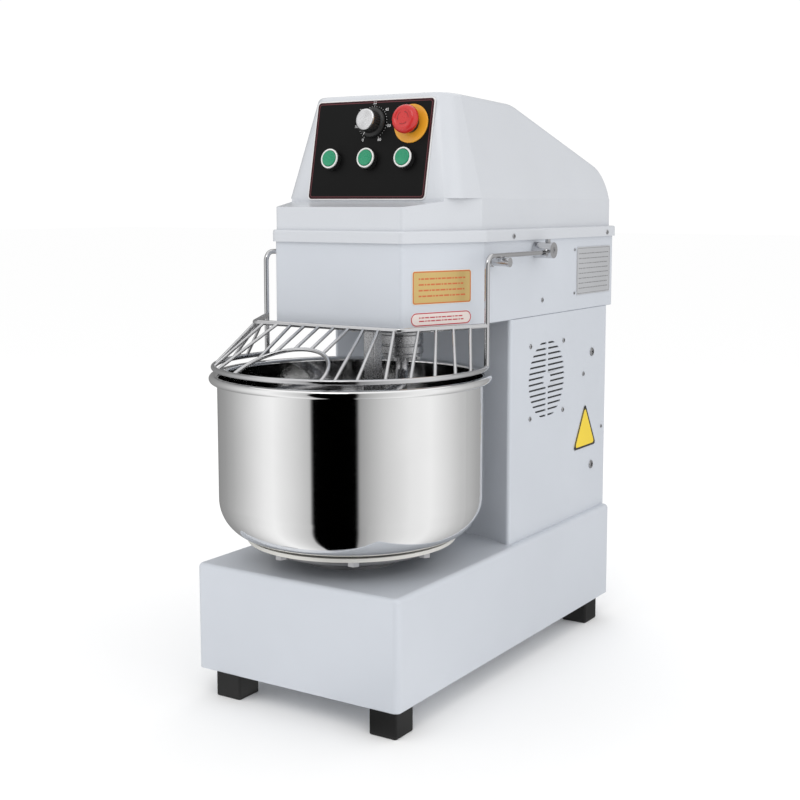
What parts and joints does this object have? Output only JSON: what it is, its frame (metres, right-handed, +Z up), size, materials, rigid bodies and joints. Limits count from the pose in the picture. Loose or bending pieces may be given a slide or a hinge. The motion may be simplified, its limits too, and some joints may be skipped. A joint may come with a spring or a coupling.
{
  "type": "spiral dough mixer",
  "caption": "Free-standing spiral dough mixer with a turning steel bowl, a spiral hook and breaker bar, a hinged wire bowl guard and a sloping control panel.",
  "frame": {"origin": "on the floor, under the middle of the bounding box", "axes": "+Z up, +X to the right side of the machine, -Y to the front, where the bowl is"},
  "size_m": [0.435, 0.8115, 0.9227],
  "materials": {
    "casing_paint": "semi-gloss powder coat",
    "cover_paint": "semi-gloss powder coat",
    "foot_rubber": "matt",
    "bowl_steel": "polished by spinning",
    "rod_chrome": "bright",
    "hook_steel": "polished",
    "machined_steel": "machined",
    "bolt_steel": "zinc plated",
    "ring_alloy": "cast, dull",
    "plate_black": "smooth film",
    "black_plastic": "fine texture",
    "white_plastic": "smooth",
    "green_plastic": "smooth",
    "red_plastic": "smooth",
    "yellow_plastic": "smooth",
    "spun_aluminium": "spun",
    "badge_gold": "satin",
    "label_film": "printed film",
    "rating_alloy": "brushed",
    "hazard_film": "printed film",
    "belt_rubber": "matt",
    "chain_steel": "oiled",
    "motor_paint": "matt enamel",
    "cast_grey": "painted cast"
  },
  "bodies": {
    "machine": {"base_shell": "casing_paint", "base_plate": "casing_paint", "feet": "foot_rubber", "column_shell": "casing_paint", "vent_filter": "black_plastic", "rear_panel": "casing_paint", "casing_screws": "bolt_steel", "hazard_plate": "hazard_film", "cable_gland": "black_plastic", "head_shell": "casing_paint", "top_cover": "cover_paint", "control_plate": "plate_black", "button_housings": "black_plastic", "button_rings": "white_plastic", "switch_blocks": "black_plastic", "timer_body": "black_plastic", "stop_disc": "yellow_plastic", "stop_housing": "black_plastic", "control_box": "black_plastic", "head_badge": "badge_gold", "strip_label": "label_film", "rating_plate": "rating_alloy", "head_rivets": "bolt_steel", "bowl_housing": "cast_grey", "shaft_bearings": "machined_steel", "bowl_chain": "chain_steel", "drive_belts": "belt_rubber", "motor": "motor_paint", "motor_bracket": "casing_paint", "hook_housing": "machined_steel", "head_bolts": "bolt_steel", "hook_chain": "chain_steel", "breaker_bar": "hook_steel", "guard_pins": "machined_steel", "guard_pegs": "rod_chrome"},
    "bowl_turn": {"bowl": "bowl_steel", "bowl_ring": "ring_alloy", "bowl_bolts": "bolt_steel", "bowl_hub": "cast_grey", "bowl_shaft": "machined_steel", "bowl_chain_wheel": "machined_steel"},
    "hook_turn": {"spiral_hook": "hook_steel", "hook_hub": "hook_steel", "hook_hub_bolts": "bolt_steel", "hook_shaft": "machined_steel", "hook_chain_wheel": "machined_steel"},
    "drive_turn": {"drive_shaft": "machined_steel", "drive_chain_wheels": "machined_steel", "drive_pulley": "cast_grey"},
    "motor_turn": {"motor_shaft": "machined_steel", "motor_pulley": "cast_grey"},
    "guard": {"guard_frame": "rod_chrome", "guard_bosses": "rod_chrome", "guard_set_bolts": "bolt_steel"},
    "timer": {"timer_knob": "black_plastic", "timer_cap": "spun_aluminium"},
    "left_push": {"left_button": "green_plastic"},
    "middle_push": {"middle_button": "green_plastic"},
    "right_push": {"right_button": "green_plastic"},
    "stop_push": {"stop_button": "red_plastic"}
  },
  "joints": [
    {"name": "bowl_spin", "type": "hinge", "parent": "machine", "child": "bowl_turn", "pos_m": [0, -0.18825, 0.22], "axis": [0, 0, 1], "continuous": true},
    {"name": "hook_spin", "type": "hinge", "parent": "machine", "child": "hook_turn", "pos_m": [0.025, -0.08225, 0.54], "axis": [0, 0, 1], "continuous": true},
    {"name": "drive_spin", "type": "hinge", "parent": "machine", "child": "drive_turn", "pos_m": [0, 0.14775, 0.5], "axis": [0, 0, 1], "continuous": true},
    {"name": "motor_spin", "type": "hinge", "parent": "machine", "child": "motor_turn", "pos_m": [0, 0.28775, 0.505], "axis": [0, 0, 1], "continuous": true},
    {"name": "guard_hinge", "type": "hinge", "parent": "machine", "child": "guard", "pos_m": [0, 0.09035, 0.68], "axis": [-1, 0, 0], "range_deg": [0, 75]},
    {"name": "timer_dial", "type": "hinge", "parent": "machine", "child": "timer", "pos_m": [0, -0.13473, 0.88065], "axis": [0, 0.9803, -0.1977], "range_deg": [0, 300]},
    {"name": "left_press", "type": "slide", "parent": "machine", "child": "left_push", "axis": [0, 0.9803, -0.1977], "range_m": [0, 0.003], "stiffness_N_per_m": 400, "springref_m": -0.003},
    {"name": "middle_press", "type": "slide", "parent": "machine", "child": "middle_push", "axis": [0, 0.9803, -0.1977], "range_m": [0, 0.003], "stiffness_N_per_m": 400, "springref_m": -0.003},
    {"name": "right_press", "type": "slide", "parent": "machine", "child": "right_push", "axis": [0, 0.9803, -0.1977], "range_m": [0, 0.003], "stiffness_N_per_m": 400, "springref_m": -0.003},
    {"name": "stop_press", "type": "slide", "parent": "machine", "child": "stop_push", "axis": [0, 0.9803, -0.1977], "range_m": [0, 0.004], "stiffness_N_per_m": 400, "springref_m": -0.003}
  ],
  "couplings": [
    {"joint": "hook_spin", "follows": "bowl_spin", "ratio": 9.9385},
    {"joint": "drive_spin", "follows": "bowl_spin", "ratio": 3.9231},
    {"joint": "motor_spin", "follows": "bowl_spin", "ratio": 7.8462}
  ]
}
